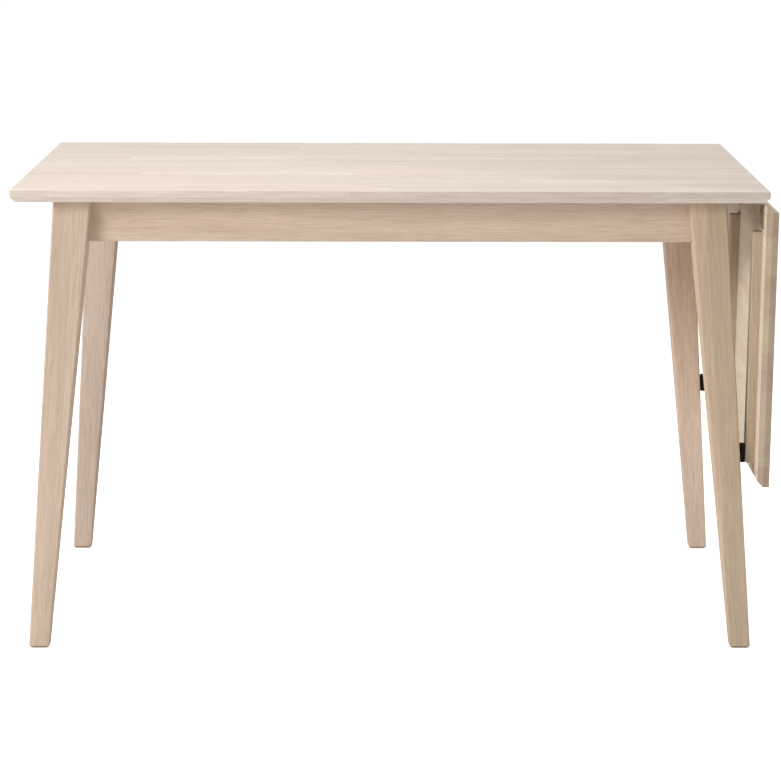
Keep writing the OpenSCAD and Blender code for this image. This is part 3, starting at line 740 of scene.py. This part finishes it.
def sink_cross(bm, rim, depth):
    """Sinks a cross recess into a flat face at z = 0 that reaches out to its rim"""
    arm, half = RECESS_ARM * rim, RECESS_HALF_WIDTH * rim

    def flat(reach_x, reach_y):
        """Faces at z = 0 whose middle lies this near the axis"""
        middles = ((face, face.calc_center_median()) for face in bm.faces)
        return [face for face, middle in middles if middle.z > -SAME_POINT
                and abs(middle.x) < reach_x and abs(middle.y) < reach_y]
    for reach, beside in ((half, rim), (arm, half)):
        for way in ((1, 0, 0), (-1, 0, 0), (0, 1, 0), (0, -1, 0)):
            faces = flat(rim, beside) if way[0] else flat(beside, rim)
            edges = {edge for face in faces for edge in face.edges}
            bmesh.ops.bisect_plane(bm, geom=faces + list(edges), dist=SAME_POINT,
                                   plane_co=reach * Vector(way), plane_no=way)
    cross = list(set(flat(half, arm) + flat(arm, half)))
    sunk = bmesh.ops.extrude_face_region(bm, geom=cross)["geom"]
    sunk = [part for part in sunk if isinstance(part, bmesh.types.BMVert)]
    bmesh.ops.delete(bm, geom=cross, context="FACES")
    bmesh.ops.scale(bm, vec=(RECESS_FLOOR, RECESS_FLOOR, 1), verts=sunk)
    bmesh.ops.translate(bm, vec=(0, 0, -depth), verts=sunk)


def screw_mesh(length, pan):
    """Screw with a pan head or a countersunk one, whose top is at the origin and faces Z"""
    size = sizes()
    head, tall, shank = size.screw_head, size.screw_head_height, size.screw_shank
    rim = PAN_FLAT * head if pan else head
    profile = [(0, 0), (rim, 0)]
    if pan:
        profile += [(head, -tall / 2), (head, -tall)]
    profile += [(shank, -tall), (shank, size.screw_point - length)]
    profile += [(POINT_END * shank, -length), (0, -length)]
    bm = bmesh.new()
    line = [bm.verts.new((r, 0, z)) for r, z in profile]
    edges = [bm.edges.new(pair) for pair in zip(line, line[1:])]
    bmesh.ops.spin(bm, geom=line + edges, cent=(0, 0, 0), axis=(0, 0, 1), steps=24, angle=math.tau,
                   use_merge=True)
    bmesh.ops.remove_doubles(bm, verts=bm.verts, dist=SAME_POINT)
    bmesh.ops.dissolve_verts(bm, verts=[v for v in bm.verts if v.co.length < SAME_POINT])
    sink_cross(bm, rim, RECESS_DEPTH * tall)
    mesh = bpy.data.meshes.new("screw")
    bm.to_mesh(mesh)
    bm.free()
    return mesh


class TABLE_OT_screws(bpy.types.Operator):
    """Screws with cross recesses, in place of the plain ones"""
    bl_idname = "table.screws"
    bl_label = "Screws"

    def execute(self, context):
        colour = colours()
        dark_steel = steel_material("dark_screw_steel", toned(colour.hinge, SCREW_DARKENING))
        bright = steel_material("screw_steel", colour.steel)
        for name, body, pan, steel, slot in (("frame_screws", "table", True, bright, "zinc_steel"),
                                             ("top_hinge_screws", "table", False, dark_steel, "hinge_steel"),
                                             ("leaf_hinge_screws", "leaf", False, dark_steel, "hinge_steel"),
                                             ("batten_screws", "leaf", True, dark_steel, "hinge_steel")):
            bm = bmesh.new()
            for i, (spot, out, length) in enumerate(screw_places(name)):
                aim = out.to_track_quat("Z", "Y").to_matrix().to_4x4()
                mesh = screw_mesh(length, pan)
                mesh.transform(Matrix.Translation(spot) @ aim @ Matrix.Rotation(SCREW_TURN * i, 4, "Z"))
                bm.from_mesh(mesh)
                bpy.data.meshes.remove(mesh)
            finish_piece(bm, name.replace("screws", "cross_screws"), steel, [name], body, slot)
        return {"FINISHED"}


class TABLE_OT_fittings(bpy.types.Operator):
    """Hinges, corner plates, bolts, brackets and glides"""
    bl_idname = "table.fittings"
    bl_label = "Fittings"

    def execute(self, context):
        colour = colours()
        plated = steel_material("plated_steel", colour.hinge)
        for kind in ("fixed_plate", "swing_plate", "hinge_pin"):
            dress([f"{kind}_{row}" for row in ("front", "middle", "rear")], plated)
        zinc = steel_material("zinc_steel", colour.steel, (60.0, 60.0, 500.0))
        dress([f"corner_plate_{corner}" for corner in CORNERS], zinc)
        dress(["leg_bolts", "leg_washers", "leg_nuts", "top_brackets"], zinc)
        plastic = rubber_material("glide_plastic", colour.rubber, 0.5)
        dress([f"glide_{corner}" for corner in CORNERS], plastic)
        return {"FINISHED"}


# How far the floor reaches in metres, how much it glows, and how strong the surroundings' light is
FLOOR_REACH = 40.0
FLOOR_GLOW = 0.66
WORLD_LIGHT = 0.416
# The photograph's camera: its focal length and width in pixels, its place from the middle of the top's
# front edge and the floor, and how far it looks down, to the right and round its own axis, in degrees
FOCAL_PX = 3204.7
PHOTO_PX = 781
SENSOR = 36.0
LENS_SHIFT = -0.04555
CAMERA_SIDE, CAMERA_AWAY, CAMERA_HEIGHT = 0.003657, 5.02419, 1.30177
PITCH, YAW, ROLL = 9.876, 0.611, 0.176


def softbox(name, place, target, width, height, power):
    """Large soft lamp at a place, turned to a target"""
    lamp = bpy.data.lights.new(name, "AREA")
    lamp.shape = "RECTANGLE"
    lamp.size = width
    lamp.size_y = height
    lamp.energy = power
    thing = bpy.data.objects.new(name, lamp)
    thing.location = place
    thing.rotation_mode = "QUATERNION"
    thing.rotation_quaternion = (Vector(target) - Vector(place)).to_track_quat("-Z", "Y")
    bpy.context.collection.objects.link(thing)


def floor_material():
    """Pale matt floor that glows a little for the camera, so that it runs into the white behind it"""
    material, n, shader = new_material("studio_floor")
    cloud = n.noise(n.object_place(), (0.7, 0.7, 0.7))
    n.set(shader.inputs["Base Color"], n.mix(cloud, opaque((0.90, 0.90, 0.90)), opaque((0.93, 0.93, 0.93))))
    n.set(shader.inputs["Roughness"], 0.9)
    n.set(shader.inputs["Specular IOR Level"], 0.0)
    ray = n.add("ShaderNodeLightPath").outputs
    n.set(shader.inputs["Emission Color"], opaque((1.0, 1.0, 1.0)))
    n.set(shader.inputs["Emission Strength"], n.math("MULTIPLY", ray["Is Camera Ray"], FLOOR_GLOW))
    return material


def white_world():
    """Surroundings that the camera sees as pure white, and that light the table more softly"""
    world = bpy.data.worlds.new("studio")
    world.use_nodes = True
    world.node_tree.nodes.clear()
    n = Nodes(world.node_tree)
    ray = n.add("ShaderNodeLightPath").outputs
    seen = n.math("MAXIMUM", ray["Is Camera Ray"], ray["Is Transmission Ray"])
    back = n.add("ShaderNodeBackground", {"Color": opaque((1.0, 1.0, 1.0)),
                                          "Strength": n.span(seen, 0.0, 1.0, WORLD_LIGHT, 1.0)})
    n.add("ShaderNodeOutputWorld", {"Surface": back.outputs[0]})
    return world


def photo_camera():
    """Camera that stands where the photograph was taken from"""
    cam = bpy.data.cameras.new("camera")
    cam.sensor_width = SENSOR
    cam.lens = FOCAL_PX / PHOTO_PX * SENSOR
    cam.shift_x = LENS_SHIFT
    cam.clip_end = 200
    pitch, yaw, roll = math.radians(PITCH), math.radians(YAW), math.radians(ROLL)
    right = Vector((math.cos(yaw), -math.sin(yaw), 0))
    level = Vector((math.sin(yaw), math.cos(yaw), 0))
    ahead = math.cos(pitch) * level - math.sin(pitch) * Vector((0, 0, 1))
    up = math.sin(pitch) * level + math.cos(pitch) * Vector((0, 0, 1))
    side = math.cos(roll) * right + math.sin(roll) * up
    rise = math.cos(roll) * up - math.sin(roll) * right
    place = Matrix.Translation((MID_X + CAMERA_SIDE, -HALF_W - CAMERA_AWAY, CAMERA_HEIGHT))
    camera = bpy.data.objects.new("camera", cam)
    camera.matrix_world = place @ Matrix((side, rise, -ahead)).transposed().to_4x4()
    return camera


class TABLE_OT_stage(bpy.types.Operator):
    """Pale floor, soft lamps, white surroundings and the camera"""
    bl_idname = "table.stage"
    bl_label = "Stage"

    def execute(self, context):
        scene = context.scene
        bm = bmesh.new()
        bmesh.ops.create_grid(bm, x_segments=2, y_segments=2, size=FLOOR_REACH)
        mesh = bpy.data.meshes.new("floor")
        bm.to_mesh(mesh)
        bm.free()
        mesh.materials.append(floor_material())
        floor = bpy.data.objects.new("floor", mesh)
        context.collection.objects.link(floor)

        softbox("key_lamp", (-3.7, -3.3, 1.8), (0, 0, 0.5), 1.8, 0.9, 120)
        softbox("left_lamp", (-3.4, -0.2, 0.6), (0, 0, 0.4), 2.0, 1.0, 14)
        softbox("right_lamp", (3.6, -0.6, 0.7), (0, 0, 0.4), 1.6, 0.9, 22)
        softbox("top_lamp", (-0.4, 0.0, 3.4), (-0.1, 0, 0.7), 2.6, 2.0, 67)
        camera = photo_camera()
        context.collection.objects.link(camera)
        scene.world = white_world()
        scene.camera = camera
        scene.view_settings.view_transform = "Standard"
        return {"FINISHED"}


class TABLE_PT_panel(bpy.types.Panel):
    """Buttons for the table's pieces"""
    bl_idname = "TABLE_PT_panel"
    bl_label = "Dining table"
    bl_space_type = "VIEW_3D"
    bl_region_type = "UI"
    bl_category = "Table"

    def draw(self, context):
        for operator in OPERATORS:
            self.layout.operator(operator.bl_idname)
        for group in (sizes(), colours()):
            for name in group.__annotations__:
                self.layout.prop(group, name)


OPERATORS = (TABLE_OT_top, TABLE_OT_leaf, TABLE_OT_legs, TABLE_OT_aprons, TABLE_OT_battens,
             TABLE_OT_screws, TABLE_OT_fittings, TABLE_OT_stage)
CLASSES = (TableSizes, TableColours, *OPERATORS, TABLE_PT_panel)


def register():
    for cls in CLASSES:
        bpy.utils.register_class(cls)
    bpy.types.Scene.table_sizes = PointerProperty(type=TableSizes)
    bpy.types.Scene.table_colours = PointerProperty(type=TableColours)


def unregister():
    del bpy.types.Scene.table_colours
    del bpy.types.Scene.table_sizes
    for cls in reversed(CLASSES):
        bpy.utils.unregister_class(cls)


def main():
    register()
    for piece in ("top", "leaf", "legs", "aprons", "battens", "screws", "fittings", "stage"):
        getattr(bpy.ops.table, piece)()


if __name__ == "__main__":
    main()
